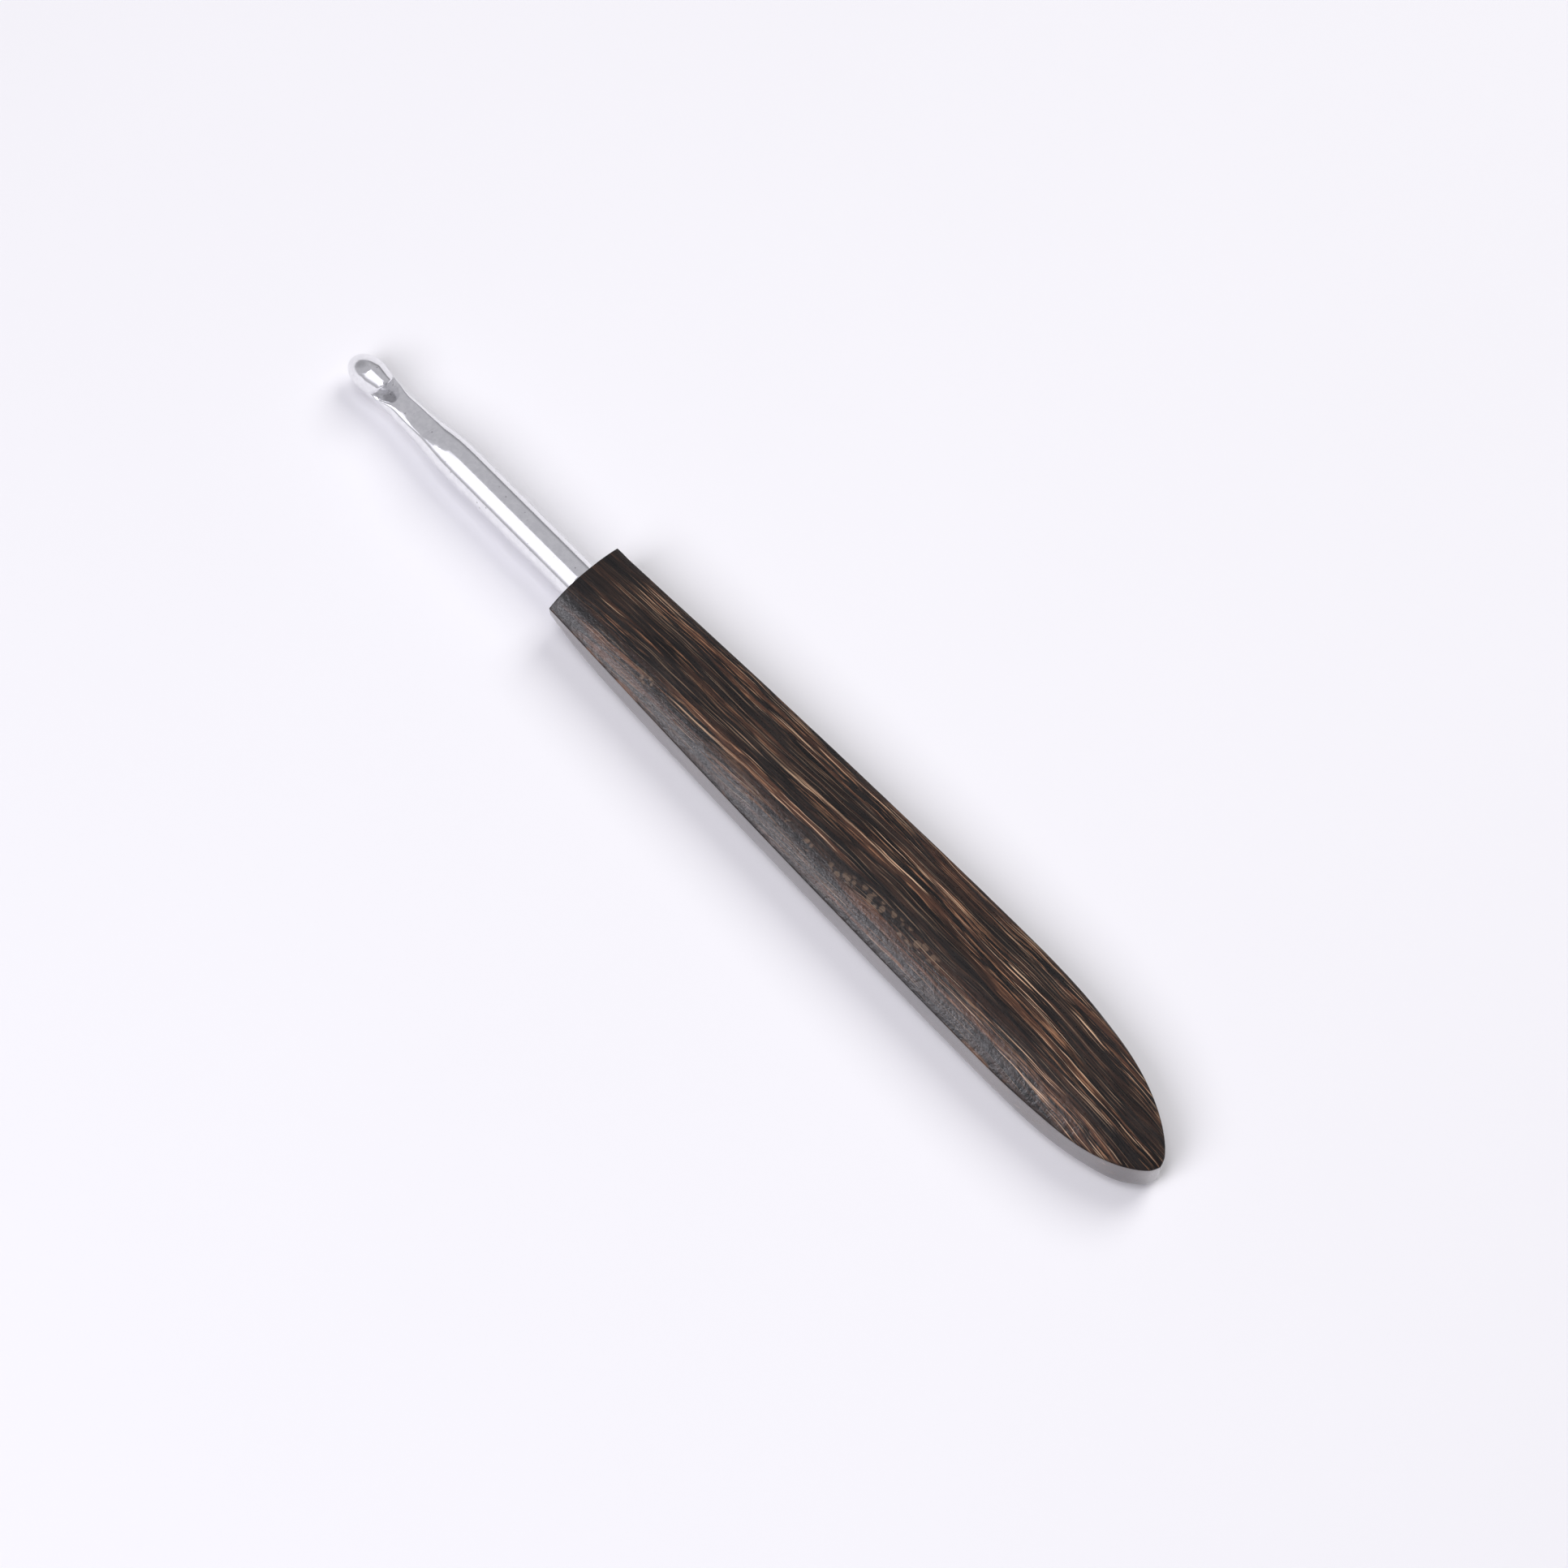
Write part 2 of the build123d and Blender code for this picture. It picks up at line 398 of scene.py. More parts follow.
HEAD_TO_NECK = (6.4, 7.4)  # where the peaked head turns into the round neck
LIP_AT = 6.5
LIP_BOW = 0.42  # how much nearer the tip the lip is at its sides, per mm of Y squared
LIP_WALL = 0.16  # length that the wall under the lip takes to fall
LIP_WALL_HEIGHT = 3.6
UNCUT_HEIGHT = 6.0  # above everything in front of the lip
CUT_EASING = 0.3  # rounding of the edge between the cut and the body
TOOL_MARK_AT = 14.8
TOOL_MARK_HEIGHT = 0.012
TOOL_MARK_LENGTH = 0.06
TOOL_MARK_SLANT = 0.25

# The hook's points are found along rays in each section. Where the mouth is cut, the rays start
# lower, in the metal that is left.
RAY_DROP = 0.3
RAY_DROP_START = (3.4, 4.2)
RAY_DROP_END = (14.0, 17.0)
RAY_LENGTH = 3.6
RAY_HALVINGS = 40
TURN_STEP = 1.5  # degrees between two rays

# distance from the tip, height above the shaft's axis of the surface that the mouth is cut to
CUT_PROFILE = [
    (3.5, 0.4),
    (5.0, 0.15),
    (6.4, 0.02),
    (6.8, 0.1),
    (7.2, 0.24),
    (7.7, 0.42),
    (8.4, 0.65),
    (9.2, 0.82),
    (10.1, 0.89),
    (11.0, 0.9),
    (11.8, 0.96),
    (12.7, 1.12),
    (13.6, 1.3),
    (14.4, 1.51),
    (15.3, 1.88),
    (16.1, 2.23),
    (17.0, 2.75),
]


def smooth_curve(places, values, at):
    """Monotone cubic through the given points, for smooth profiles without overshoot."""
    places, values, at = (np.asarray(a, float) for a in (places, values, at))
    run = np.diff(places)
    slope = np.diff(values) / run
    tangent = np.zeros(len(places))
    tangent[0], tangent[-1] = slope[0], slope[-1]
    for i in range(1, len(places) - 1):
        if slope[i - 1] * slope[i] > 0:
            tangent[i] = 2 * slope[i - 1] * slope[i] / (slope[i - 1] + slope[i])
    i = np.clip(np.searchsorted(places, at) - 1, 0, len(run) - 1)
    t = np.clip((at - places[i]) / run[i], 0, 1)
    h00, h10 = 2 * t**3 - 3 * t**2 + 1, t**3 - 2 * t**2 + t
    h01, h11 = 3 * t**2 - 2 * t**3, t**3 - t**2
    return h00 * values[i] + h10 * run[i] * tangent[i] + h01 * values[i + 1] + h11 * run[i] * tangent[i + 1]


def hook_body(t):
    """Half width, lift, height above and depth below the centre, and peakedness of the uncut body."""
    places, widths, lifts = np.array(HOOK_PROFILE).T
    width, lift = smooth_curve(places, widths, t), smooth_curve(places, lifts, t)
    share = np.clip(1 - t / TIP_LENGTH, 0, 1)
    rounding = np.sqrt(np.maximum(1 - share**2, 1e-8))
    brow_share = np.clip(1 - t / BROW_LENGTH, 0, 1)
    brow = BROW_HEIGHT * np.maximum(1 - brow_share**BROW_POWER, 1e-8) ** (1 / BROW_POWER)
    neck = smoothstep(*HEAD_TO_NECK, t)
    above = brow + (width - brow) * neck
    behind_chin = CHIN_DEPTH + (width - CHIN_DEPTH) * smoothstep(*CHIN_TO_NECK, t)
    below = np.where(t < CHIN_TO_NECK[0], CHIN_DEPTH * rounding, behind_chin)
    peak = PEAK_POWER + (2 - PEAK_POWER) * neck
    return width * rounding, lift, above, below, peak


def cut_height(t, y):
    """Height above the axis of the surface that the mouth is cut to, with the hooked lip in front."""
    places, heights = np.array(CUT_PROFILE).T
    behind = t - (LIP_AT - LIP_BOW * y * y)
    wall = LIP_WALL_HEIGHT * (1 - smoothstep(0, LIP_WALL, behind))
    across_mark = (t - TOOL_MARK_AT + TOOL_MARK_SLANT * y) / TOOL_MARK_LENGTH
    tool_mark = TOOL_MARK_HEIGHT * np.exp(-(across_mark**2))
    return np.where(behind <= 0, UNCUT_HEIGHT, smooth_curve(places, heights, t) + wall) + tool_mark


def build_hook():
    stops = [(0.0, 0.004), (0.05, 0.02), (0.6, 0.1), (2.8, 0.12), (3.6, 0.04), (4.0, 0.025), (7.2, 0.025)]
    stops += [(7.8, 0.08), (14.0, 0.1), (14.5, 0.03), (15.2, 0.03), (15.8, 0.1), (22, 0.2)]
    stops += [(EXPOSED_HOOK, 0.8)]
    stations = spread(stops)[1:]
    turns = np.radians(np.arange(0, 360, TURN_STEP))
    t, angle = np.meshgrid(stations, turns, indexing="ij")
    width, lift, above, below, peak = hook_body(t)
    seat = lift - RAY_DROP * smoothstep(*RAY_DROP_START, t) * (1 - smoothstep(*RAY_DROP_END, t))
    direction_y, direction_z = np.sin(angle), np.cos(angle)

    def outside(reach):
        """How far outside the cut body the points at that reach along the rays are."""
        y, z = reach * direction_y, seat + reach * direction_z
        over = z > lift
        tall = np.where(over, above, below)
        power = np.where(over, peak, 2.0)
        body = ((np.abs(y / width) ** power + np.abs((z - lift) / tall) ** power) ** (1 / power) - 1) * width
        cut = z - cut_height(t, y)
        mix = np.clip(0.5 + 0.5 * (body - cut) / CUT_EASING, 0, 1)
        return cut + (body - cut) * mix + CUT_EASING * mix * (1 - mix)

    low, high = np.zeros_like(t), np.full_like(t, RAY_LENGTH)
    for _ in range(RAY_HALVINGS):
        middle = (low + high) / 2
        out = outside(middle) > 0
        high = np.where(out, middle, high)
        low = np.where(out, low, middle)
    reach = (low + high) / 2
    y, z = reach * direction_y, SHAFT_Z + seat + reach * direction_z
    x = TIP_X + TIP_REACH * (1 - smoothstep(0, TIP_REACH_LENGTH, stations)) - stations
    rings = [np.column_stack([np.full(len(turns), x[i]), y[i], z[i]]) for i in range(len(stations))]

    tang = [
        (NOSE_X, TANG_RADIUS),
        (NOSE_X - TANG_RING, TANG_RADIUS),
        (TANG_END_X + TANG_CHAMFER, TANG_RADIUS),
        (TANG_END_X, TANG_RADIUS - TANG_CHAMFER),
    ]
    circle = np.column_stack([np.sin(turns), np.cos(turns)])
    for place, radius in tang:
        ring = circle * radius
        rings.append(np.column_stack([np.full(len(turns), place), ring[:, 0], ring[:, 1] + SHAFT_Z]))
    return ring_mesh("metal_hook", rings)


hook = build_hook()


# ---- materials ----
class Graph:
    """Short ways to build the nodes of a material or of the world."""

    def __init__(self, owner, shader):
        owner.use_nodes = True
        self.owner = owner
        self.tree = owner.node_tree
        self.shader = self.tree.nodes[shader]

    def node(self, kind, inputs=(), **settings):
        made = self.tree.nodes.new("ShaderNode" + kind)
        for key, value in settings.items():
            setattr(made, key, value)
        for key, value in dict(inputs).items():
            self.set(made.inputs[key], value)
        return made

    def set(self, socket, value):
        if isinstance(value, bpy.types.NodeSocket):
            self.tree.links.new(value, socket)
        else:
            socket.default_value = value

    def math(self, operation, a, b=0.0, c=0.0, clamp=False):
        made = self.node("Math", operation=operation, use_clamp=clamp)
        for socket, value in zip(made.inputs, (a, b, c)):
            self.set(socket, value)
        return made.outputs[0]

    def product(self, first, *others):
        for other in others:
            first = self.math("MULTIPLY", first, other)
        return first

    def at_least(self, floor, share):
        """A share of 0 to 1, raised so that it runs from floor to 1."""
        return self.math("MULTIPLY_ADD", share, 1 - floor, floor)

    def vector(self, x, y, z):
        return self.node("CombineXYZ", {"X": x, "Y": y, "Z": z}).outputs[0]

    def scaled(self, place, factors):
        """Vector of the three coordinates, each multiplied by its factor."""
        return self.vector(*(self.math("MULTIPLY", p, factor) for p, factor in zip(place, factors)))

    def noise(self, vector, scale=1.0, detail=2.0, roughness=0.5):
        inputs = {"Vector": vector, "Scale": scale, "Detail": detail, "Roughness": roughness}
        return self.node("TexNoise", inputs).outputs["Fac"]

    def cells(self, vector, scale):
        """Distance to the nearest of many scattered points."""
        return self.node("TexVoronoi", {"Vector": vector, "Scale": scale}).outputs["Distance"]

    def span(self, value, low, high, to_low=0.0, to_high=1.0):
        """The value's place between low and high, eased, as a number from to_low to to_high."""
        inputs = {"Value": value, "From Min": low, "From Max": high, "To Min": to_low, "To Max": to_high}
        made = self.node("MapRange", inputs, interpolation_type="SMOOTHSTEP", clamp=True)
        return made.outputs["Result"]

    def mix(self, share, a, b, blend="MIX"):
        made = self.node("Mix", data_type="RGBA", blend_type=blend, clamp_factor=True)
        self.set(made.inputs[0], share)
        self.set(made.inputs[6], a)
        self.set(made.inputs[7], b)
        return made.outputs[2]

    def bump(self, height, distance, strength, normal=None):
        made = self.node("Bump", {"Height": height, "Distance": distance * MM, "Strength": strength})
        if normal is not None:
            self.set(made.inputs["Normal"], normal)
        return made.outputs["Normal"]

    def place(self):
        """Place on the object in millimetres, as separate x, y and z."""
        spot = self.node("TexCoord").outputs["Object"]
        scaled = self.node("VectorMath", {0: spot, 1: (1 / MM,) * 3}, operation="MULTIPLY").outputs[0]
        split = self.node("SeparateXYZ", {0: scaled})
        return split.outputs[0], split.outputs[1], split.outputs[2]


def surface(name):
    """Graph of a new material."""
    return Graph(bpy.data.materials.new(name), "Principled BSDF")


def srgb(red, green, blue):
    """Linear colour from sRGB values of 0 to 255."""
    shares = [value / 255 for value in (red, green, blue)]
    return (*(s / 12.92 if s <= 0.04045 else ((s + 0.055) / 1.055) ** 2.4 for s in shares), 1)


# filled pits in the crown: distance from the nose, y, and the patch's half length and half width
PITTED = [
    (57.5, 3.3, 8.5, 0.8),
    (15.2, 3.7, 1.0, 0.6),
    (40.2, 3.9, 0.9, 0.5),
    (43.3, 4.1, 0.9, 0.6),
    (48.4, 3.8, 1.8, 0.5),
]
PIT_SCALE = 1.15
PIT_TONE = (122, 101, 86)

# colours of the wood from its darkest to its palest strands, on the crown and, painted paler, on the side
# walls
CROWN_TONES = [(17, 16, 17), (32, 29, 29), (86, 58, 46), (154, 113, 87), (220, 184, 154)]
# the walls' tones are paler than the wood itself: painted light, standing in for the pale table that the
# walls reflect at a grazing view, on top of their coat's own reflection
WALL_TONES_PAINTED_PALER = [(66, 60, 61), (84, 77, 78), (96, 78, 72), (128, 106, 92), (150, 128, 112)]
UPPER_EDGE_DARK_TONE = (26, 19, 18)  # the darker band along the upper edges
RUBBED_TONE = (112, 80, 62)  # paler wood that shows through there
FIBRE_LIFT = (1.6, 1.45, 1.35, 1)  # multiplies the dark wood in its paler fibres
LINE_SHADE = (0.52, 0.54, 0.58, 1)  # multiplies the colour in the fine dark lines

# course of the grain, in millimetres
SWEEP_SIZE = 1.5  # sideways bow of the grain over the handle's length
SWEEP_LENGTH = 110.0
WAVE_SIZE = 1.7
RIPPLE_SIZE = 0.4
NOSE_FADE = (2.0, 8.0)  # distance from the nose over which the strands set in
PLAIN_Y = (1.8, 4.2)  # the near side of the crown, which has fewer strands
PLAIN_END = (62, 80)  # distance from the nose where that side's strands come back
PLAIN_LOSS = 0.7


def make_wood(name, tones, depth):
    """Dark stained wood with reddish bands and tan strands along X, and depth as its share across Z.

    It gives the material's graph and the layers that its roughness and relief are made from."""
    g = surface(name)
    darkest, dark, reddish, tan, pale = (srgb(*tone) for tone in tones)
    x, y, z = g.place()
    along = g.math("SUBTRACT", NOSE_X, x)
    swing = g.math("MULTIPLY", g.math("SINE", g.math("MULTIPLY", along, math.pi / SWEEP_LENGTH)), SWEEP_SIZE)
    waves = g.noise(g.scaled((x, y, z), (0.035, 0.16, 0.16)))
    ripple = g.noise(g.scaled((x, y, z), (0.16, 0.5, 0.5)))
    wave_drift = g.math("MULTIPLY", g.math("SUBTRACT", waves, 0.5), WAVE_SIZE)
    ripple_drift = g.math("MULTIPLY", g.math("SUBTRACT", ripple, 0.5), RIPPLE_SIZE)
    across = g.math("ADD", g.math("ADD", y, swing), g.math("ADD", wave_drift, ripple_drift))

    def grain(length, width, offset, **how):
        """Noise drawn out along the wood, with features of about this length and width in mm.

        The offset only keeps one layer from repeating another."""
        sideways = g.math("MULTIPLY_ADD", across, 1 / width, offset)
        lengthways = g.math("MULTIPLY", x, 1 / length)
        return g.noise(g.vector(lengthways, sideways, g.math("MULTIPLY", z, depth / width)), **how)

    bands = grain(30, 1.9, 3.1, detail=2)
    patches = grain(18, 0.6, 11.7, detail=3, roughness=0.6)
    strands = grain(10, 0.21, 23.3, detail=4, roughness=0.7)
    needles = grain(12, 0.15, 37.9, detail=1)
    fibres = grain(3.6, 0.11, 51.2, detail=3, roughness=0.72)
    combing = grain(4.0, 0.17, 95.0, detail=2, roughness=0.65)
    blotches = grain(9, 1.6, 71.0, detail=3)

    # dark ground with paler fibres, reddish bands, tan strands and a few pale needles
    band = g.span(bands, 0.44, 0.58)
    nose_fade = g.span(along, *NOSE_FADE)
    plain_side = g.product(g.span(y, *PLAIN_Y), g.span(along, *PLAIN_END, 1, 0))
    strands_left = g.math("MULTIPLY_ADD", plain_side, -PLAIN_LOSS, 1.0)
    colour = g.mix(g.span(blotches, 0.35, 0.65), darkest, dark)
    fibre_shade = g.span(fibres, 0.38, 0.66)
    colour = g.mix(fibre_shade, colour, g.mix(1.0, colour, FIBRE_LIFT, "MULTIPLY"))
    red_share = g.product(
        g.span(patches, 0.47, 0.6),
        g.at_least(0.25, band),
        g.at_least(0.65, fibre_shade),
        g.at_least(0.3, nose_fade),
    )
    colour = g.mix(red_share, colour, reddish)
    strand_share = g.product(
        g.span(strands, 0.53, 0.6),
        g.at_least(0.1, band),
        g.at_least(0.2, nose_fade),
        g.span(combing, 0.38, 0.56, 0.2, 1),
        strands_left,
    )
    colour = g.mix(g.math("MULTIPLY", strand_share, 0.85), colour, tan)
    needle_share = g.product(g.span(needles, 0.62, 0.7), g.at_least(0.2, band), nose_fade, strands_left)
    colour = g.mix(g.math("MULTIPLY", needle_share, 0.9), colour, pale)

    # fine dark lines between the strands
    shaded = g.mix(1.0, colour, LINE_SHADE, "MULTIPLY")
    colour = g.mix(g.span(combing, 0.4, 0.52), shaded, colour)

    # small filled pits along the near side of the crown, in one long row and four small patches
    cells = g.cells(g.vector(x, y, z), PIT_SCALE)
    crumbs = g.span(g.math("ADD", cells, g.math("MULTIPLY", combing, 0.3)), 0.5, 0.7, 1, 0)
    pitted = 0.0
    for place, side, length, width in PITTED:
        far_x = g.math("DIVIDE", g.math("SUBTRACT", along, place), length)
        far_y = g.math("DIVIDE", g.math("SUBTRACT", y, side), width)
        reach = g.math("ADD", g.math("MULTIPLY", far_x, far_x), g.math("MULTIPLY", far_y, far_y))
        pitted = g.math("ADD", pitted, g.span(reach, 0.5, 1.3, 1, 0))
    pits = g.math("MULTIPLY", crumbs, pitted, clamp=True)
    colour = g.mix(g.math("MULTIPLY", pits, g.span(fibres, 0.4, 0.6, 0.25, 0.7)), colour, srgb(*PIT_TONE))

    # the upper edges are darker, and in places paler wood shows through where they are rubbed
    edge = g.node("Attribute", attribute_name="edge").outputs["Fac"]
    rubbed = g.math("MULTIPLY", edge, g.span(grain(5, 1.5, 83.0, detail=3, roughness=0.6), 0.53, 0.66))
    colour = g.mix(g.math("MULTIPLY", edge, 0.7), colour, srgb(*UPPER_EDGE_DARK_TONE))
    colour = g.mix(g.math("MULTIPLY", rubbed, 0.7), colour, srgb(*RUBBED_TONE))
    g.set(g.shader.inputs["Base Color"], colour)

    mottle = g.noise(g.vector(x, y, z), scale=1.1, detail=3, roughness=0.6)
    grit = g.noise(g.vector(x, y, z), scale=3.2, detail=2, roughness=0.6)
    layers = SimpleNamespace(
        fibres=fibres, strands=strands, strand_share=strand_share, pits=pits, mottle=mottle, grit=grit
    )
    return g, layers


def make_crown_wood():
    g, wood = make_wood("stained_wenge", CROWN_TONES, 0.06)
    rough = g.math("MULTIPLY_ADD", wood.grit, 0.2, 0.2)
    g.set(g.shader.inputs["Roughness"], g.math("ADD", rough, g.math("MULTIPLY", wood.strand_share, 0.08)))
    g.shader.inputs["IOR"].default_value = 1.34
    normal = g.bump(wood.mottle, 0.12, 0.5)
    normal = g.bump(wood.grit, 0.036, 0.6, normal)
    normal = g.bump(wood.fibres, 0.02, 0.6, normal)
    normal = g.bump(wood.pits, 0.06, -0.6, normal)
    normal = g.bump(wood.strands, 0.02, 0.5, normal)
    g.set(g.shader.inputs["Normal"], normal)
    return g.owner


# The side walls take the wood's tones painted paler, a painted reflection of the pale table added to the real
# reflection of their coat.
def make_wall_wood():
    g, wood = make_wood("stained_wenge_side", WALL_TONES_PAINTED_PALER, 1.0)
    g.set(g.shader.inputs["Roughness"], g.math("MULTIPLY_ADD", wood.grit, 0.15, 0.16))
    g.shader.inputs["IOR"].default_value = 1.6
    g.shader.inputs["Coat Weight"].default_value = 0.85
    g.shader.inputs["Coat Roughness"].default_value = 0.12
    normal = g.bump(wood.mottle, 0.03, 0.4)
    normal = g.bump(wood.fibres, 0.006, 0.5, normal)
    g.set(g.shader.inputs["Normal"], normal)
    return g.owner


def make_metal():
    g = surface("polished_aluminium")
    x, y, z = g.place()
    lines = g.noise(g.scaled((x, y, z), (0.12, 9, 9)), detail=3, roughness=0.6)
    cloud = g.noise(g.vector(x, y, z), scale=1.4, detail=4, roughness=0.65)
    fine = g.noise(g.vector(x, y, z), scale=7.0, detail=2, roughness=0.6)
    pits = g.span(g.cells(g.vector(x, y, z), 0.75), 0.05, 0.1, 1, 0)
    colour = g.mix(g.span(cloud, 0.35, 0.7), srgb(232, 232, 234), srgb(242, 242, 243))
    colour = g.mix(g.math("MULTIPLY", pits, 0.55), colour, srgb(110, 108, 110))
    g.set(g.shader.inputs["Base Color"], colour)
    g.shader.inputs["Metallic"].default_value = 1.0
    rough = g.math("MULTIPLY_ADD", cloud, 0.1, 0.06)
    g.set(g.shader.inputs["Roughness"], g.math("MULTIPLY_ADD", pits, 0.3, rough))
    normal = g.bump(lines, 0.0012, 0.7)
    normal = g.bump(fine, 0.0025, 0.7, normal)
    normal = g.bump(pits, 0.01, -0.6, normal)
    g.set(g.shader.inputs["Normal"], normal)
    return g.owner


def make_adhesive():
    g = surface("amber_epoxy")
    x, y, z = g.place()
    cloud = g.noise(g.vector(x, y, z), scale=0.8, detail=3, roughness=0.6)
    colour = g.mix(g.span(cloud, 0.3, 0.7), srgb(176, 132, 70), srgb(206, 168, 104))
    bubbles = g.span(g.cells(g.vector(x, y, z), 1.6), 0.08, 0.16, 1, 0)
    colour = g.mix(g.math("MULTIPLY", bubbles, 0.5), colour, srgb(226, 202, 150))
    g.set(g.shader.inputs["Base Color"], colour)
    g.set(g.shader.inputs["Roughness"], g.math("MULTIPLY_ADD", cloud, 0.2, 0.15))
    g.set(g.shader.inputs["Normal"], g.bump(g.math("ADD", cloud, bubbles), 0.03, 0.5))
    return g.owner


def make_table():
    g = surface("pale_table")
    x, y, _ = g.place()
    cloud = g.noise(g.vector(x, y, 0.0), scale=0.012, detail=2)
    colour = g.mix(cloud, srgb(240, 239, 247), srgb(243, 242, 250))
    g.set(g.shader.inputs["Base Color"], colour)
    g.shader.inputs["Roughness"].default_value = 0.7
    g.shader.inputs["Specular IOR Level"].default_value = 0.15
    return g.owner


handle.data.materials.append(make_crown_wood())
handle.data.materials.append(make_wall_wood())
hook.data.materials.append(make_metal())
bond = frame["nodes"]["epoxy_bond"]
bond.data.materials.clear()
bond.data.materials.append(make_adhesive())

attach(handle, "root")
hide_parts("handle")
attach(hook, "root")
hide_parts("hook")

# ---- table ----
TABLE_HALF = 1.5  # half of its side, in metres
table_corners = [(x * TABLE_HALF, y * TABLE_HALF, 0) for x, y in ((-1, -1), (1, -1), (1, 1), (-1, 1))]
table_mesh = bpy.data.meshes.new("table")
table_mesh.from_pydata(table_corners, [], [(0, 1, 2, 3)])
table = bpy.data.objects.new("table", table_mesh)
bpy.context.scene.collection.objects.link(table)
table_mesh.materials.append(make_table())

# ---- light ----
# The room and a large softbox at the near side are seen only in reflections, and three soft panels
# seen only by matt surfaces give the light and the shadows. A direction is given by its tilt, in
# degrees from straight up towards +Y, and by the X, Y and Z of its unit vector.
SOFTBOX_LOW, SOFTBOX_HIGH = 5.0, 64.0  # tilt of the softbox's edges
LOW_BLUR, HIGH_BLUR = 1.5, 17.0  # softness of those edges, in degrees
SOFTBOX_SIDE = (0.38, 0.43)  # X over which the softbox fades out on the +X side
SIDE_SLANT = 0.004  # how much further that lies, per degree of tilt
SOFTBOX_END = (-0.32, -0.22)  # X over which it fades in on the -X side
SOFTBOX_SLANT = 54.0  # fall of the low edge's tilt towards -X, in degrees per unit of X
SLANT_FROM = 0.36  # X where that starts
BOX_LIGHT = (0.16, 0.26, 0.45, 1.25)  # X from and to, and the softbox's strength there
TUBE_RISE, TUBE_FALL = (28, 40), (43, 56)  # tilt of the edges of the bright tube in the softbox
TUBE_START, TUBE_STOP = (0.18, 0.27), (0.36, 0.4)  # X of its ends
TUBE_REST = 0.1  # share of its light that goes on past its +X end
TUBE_LIGHT = 28.0
HORIZON_LIGHT = (-0.8, -0.35, 0.26, 0.5)  # Y from and to, and the room's strength there
OVERHEAD = (0.02, 0.4)  # Z over which the room turns into its upper part
OVERHEAD_LIGHT = 0.52
TIP_END_SHARE = (0.85, 1.0, 1, 0.7)  # X from and to, and the share of the room's light left there
TAIL_END_SHARE = (-0.55, -0.3, 0.6, 1)
ROOM_TINT = (1.0, 0.99, 1.06, 1)
SOFTBOX_TINT = (0.99, 0.98, 1.06, 1)


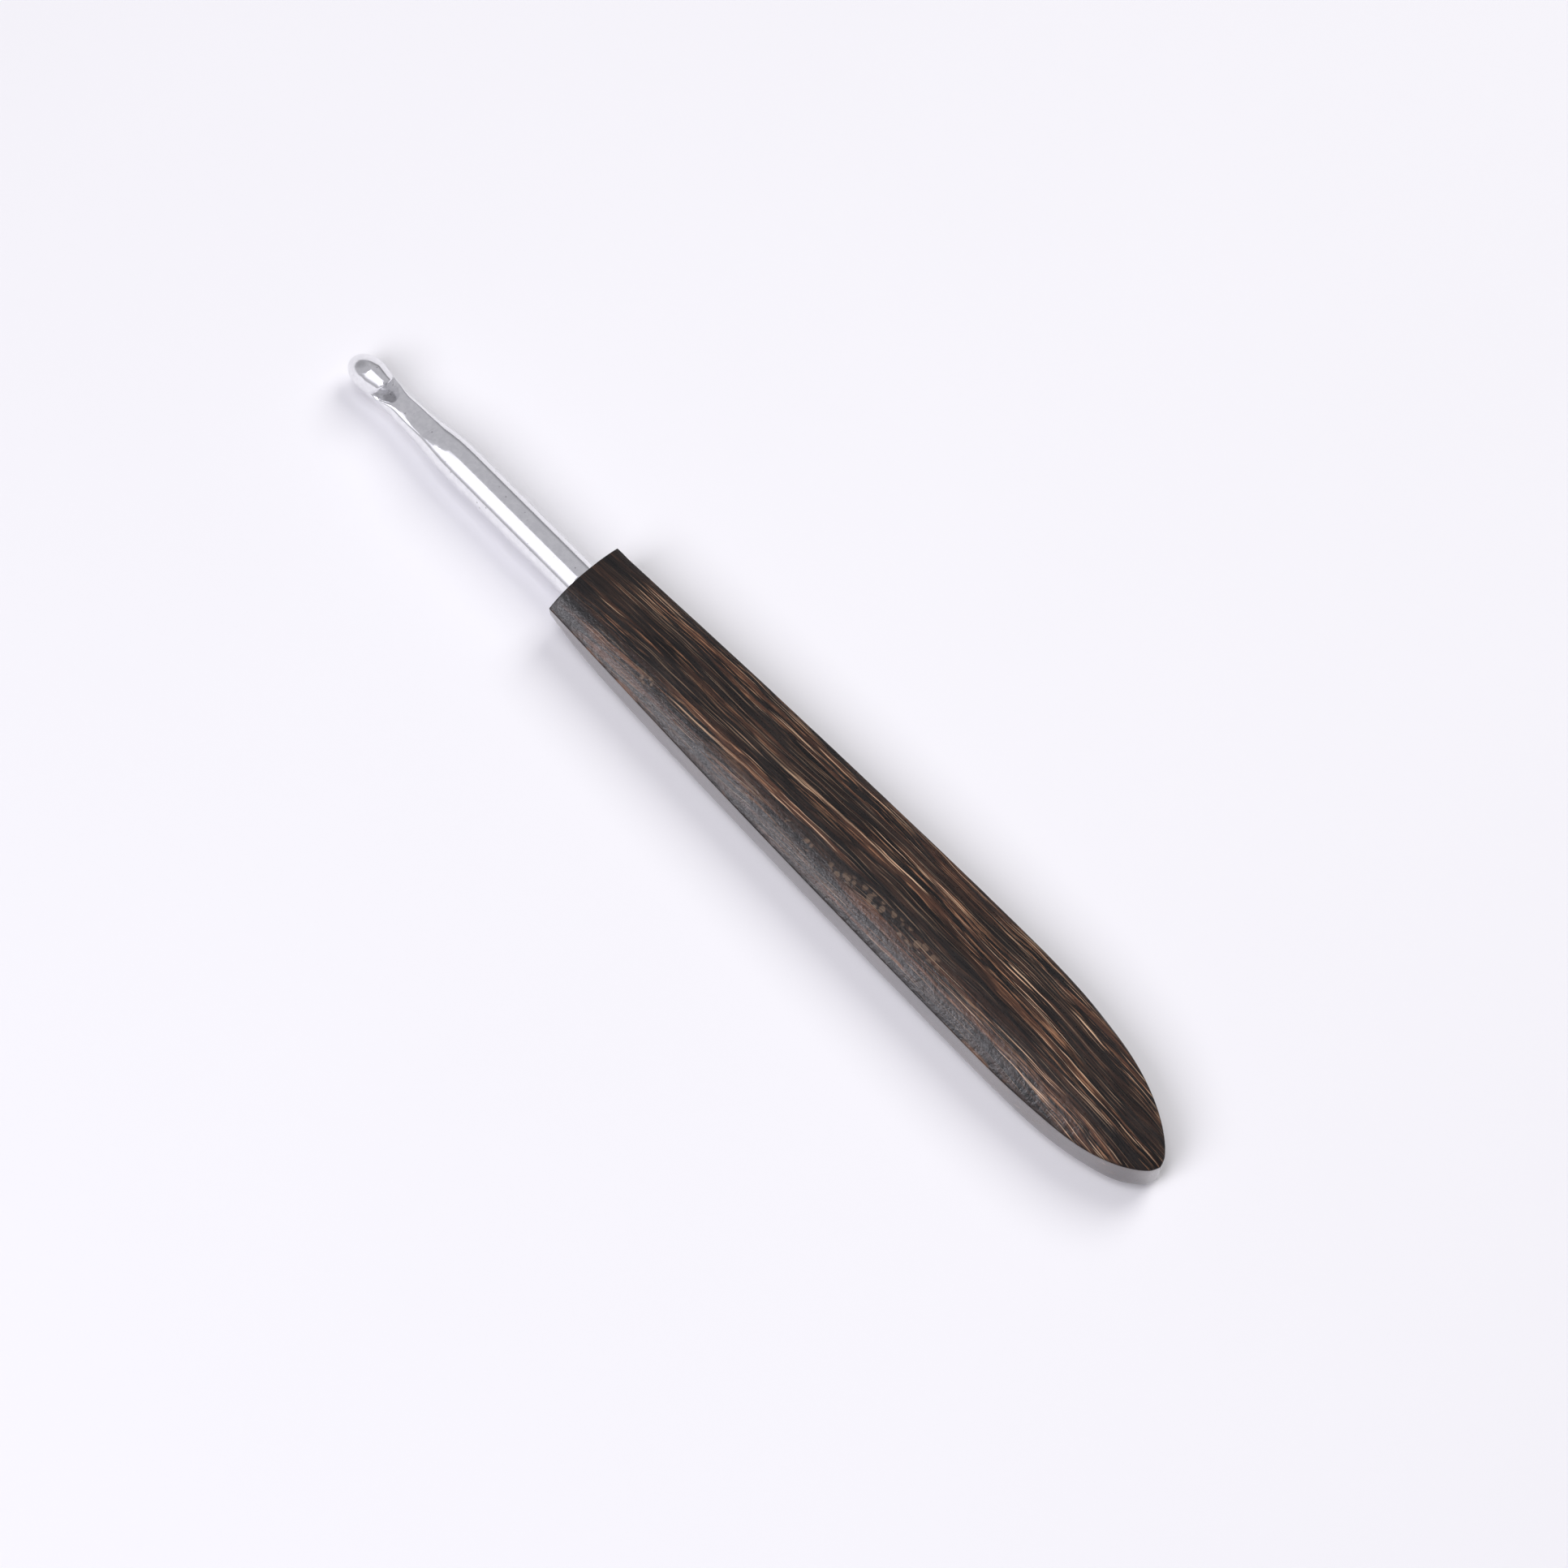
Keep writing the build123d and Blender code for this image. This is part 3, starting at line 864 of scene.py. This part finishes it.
def light_room():
    world = bpy.data.worlds.new("room")
    bpy.context.scene.world = world
    g = Graph(world, "Background")
    split = g.node("SeparateXYZ", {0: g.node("TexCoord").outputs["Generated"]})
    x, y, z = split.outputs[0], split.outputs[1], split.outputs[2]
    tilt = g.math("MULTIPLY", g.math("ARCTAN2", y, z), math.degrees(1))
    slant = g.math("MULTIPLY", g.math("MINIMUM", g.math("SUBTRACT", x, SLANT_FROM), 0.0), SOFTBOX_SLANT)
    side = g.math("SUBTRACT", x, g.math("MULTIPLY", g.math("MAXIMUM", tilt, 0.0), SIDE_SLANT))
    inside = g.product(
        g.span(g.math("SUBTRACT", tilt, slant), SOFTBOX_LOW - LOW_BLUR, SOFTBOX_LOW + LOW_BLUR),
        g.span(tilt, SOFTBOX_HIGH, SOFTBOX_HIGH + HIGH_BLUR, 1, 0),
        g.span(side, *SOFTBOX_SIDE, 1, 0),
        g.span(x, *SOFTBOX_END),
    )
    tube = g.product(
        g.product(g.span(tilt, *TUBE_RISE), g.span(tilt, *TUBE_FALL, 1, 0)),
        g.product(g.span(x, *TUBE_START), g.span(x, *TUBE_STOP, 1, TUBE_REST)),
    )
    box_light = g.math("MULTIPLY_ADD", tube, TUBE_LIGHT, g.span(x, *BOX_LIGHT))
    horizon = g.span(y, *HORIZON_LIGHT)
    to_overhead = g.math("SUBTRACT", OVERHEAD_LIGHT, horizon)
    room_light = g.math("ADD", horizon, g.math("MULTIPLY", g.span(z, *OVERHEAD), to_overhead))
    room_light = g.product(room_light, g.span(x, *TIP_END_SHARE), g.span(x, *TAIL_END_SHARE))
    outside_light = g.math("MULTIPLY", room_light, g.math("SUBTRACT", 1.0, inside))
    strength = g.math("ADD", g.math("MULTIPLY", box_light, inside), outside_light)
    g.set(g.shader.inputs["Color"], g.mix(inside, ROOM_TINT, SOFTBOX_TINT))
    g.set(g.shader.inputs["Strength"], strength)
    world.cycles_visibility.diffuse = False


def panel(name, toward, distance, size, radiance, colour=(1, 1, 1)):
    """Soft light panel facing the object from a direction, seen by matt surfaces only."""
    toward = Vector(toward).normalized()
    light = bpy.data.lights.new(name, "AREA")
    light.shape = "RECTANGLE"
    light.size, light.size_y = size
    light.energy = radiance * math.pi * size[0] * size[1]
    light.color = colour
    lamp = bpy.data.objects.new(name, light)
    lamp.location = toward * distance
    lamp.rotation_mode = "QUATERNION"
    lamp.rotation_quaternion = (-toward).to_track_quat("-Z", "Y")
    lamp.visible_camera = False
    lamp.visible_glossy = False
    bpy.context.scene.collection.objects.link(lamp)


light_room()
# direction, distance and sides in metres, radiance and colour
panel("top_light", (0, 0.1, 1), 1.1, (0.35, 0.35), 8.6)
panel("far_key", (0, -0.616, 0.788), 0.9, (0.43, 0.6), 5.25, (1.0, 0.99, 0.94))
panel("near_key", (0, 0.616, 0.788), 0.9, (0.43, 0.6), 5.8, (1.0, 0.985, 1.0))

# ---- camera ----
CAMERA_TARGET = Vector((-6.5, -0.385, 3.55)) * MM
CAMERA_AZIMUTH, CAMERA_ELEVATION = math.radians(227.05), math.radians(68)
CAMERA_DISTANCE = 0.5  # metres
CAMERA_LENS, CAMERA_SENSOR = 97.68, 36
camera_data = bpy.data.cameras.new("camera")
camera = bpy.data.objects.new("camera", camera_data)
bpy.context.scene.collection.objects.link(camera)
bpy.context.scene.camera = camera
back = Vector((
    math.sin(CAMERA_AZIMUTH) * math.cos(CAMERA_ELEVATION),
    -math.cos(CAMERA_AZIMUTH) * math.cos(CAMERA_ELEVATION),
    math.sin(CAMERA_ELEVATION),
))
camera.location = CAMERA_TARGET + back * CAMERA_DISTANCE
camera.rotation_mode = "QUATERNION"
camera.rotation_quaternion = (-back).to_track_quat("-Z", "Y")
camera_data.sensor_width = CAMERA_SENSOR
camera_data.lens = CAMERA_LENS
camera_data.clip_start, camera_data.clip_end = 0.01, 20
bpy.context.scene.view_settings.view_transform = "Standard"
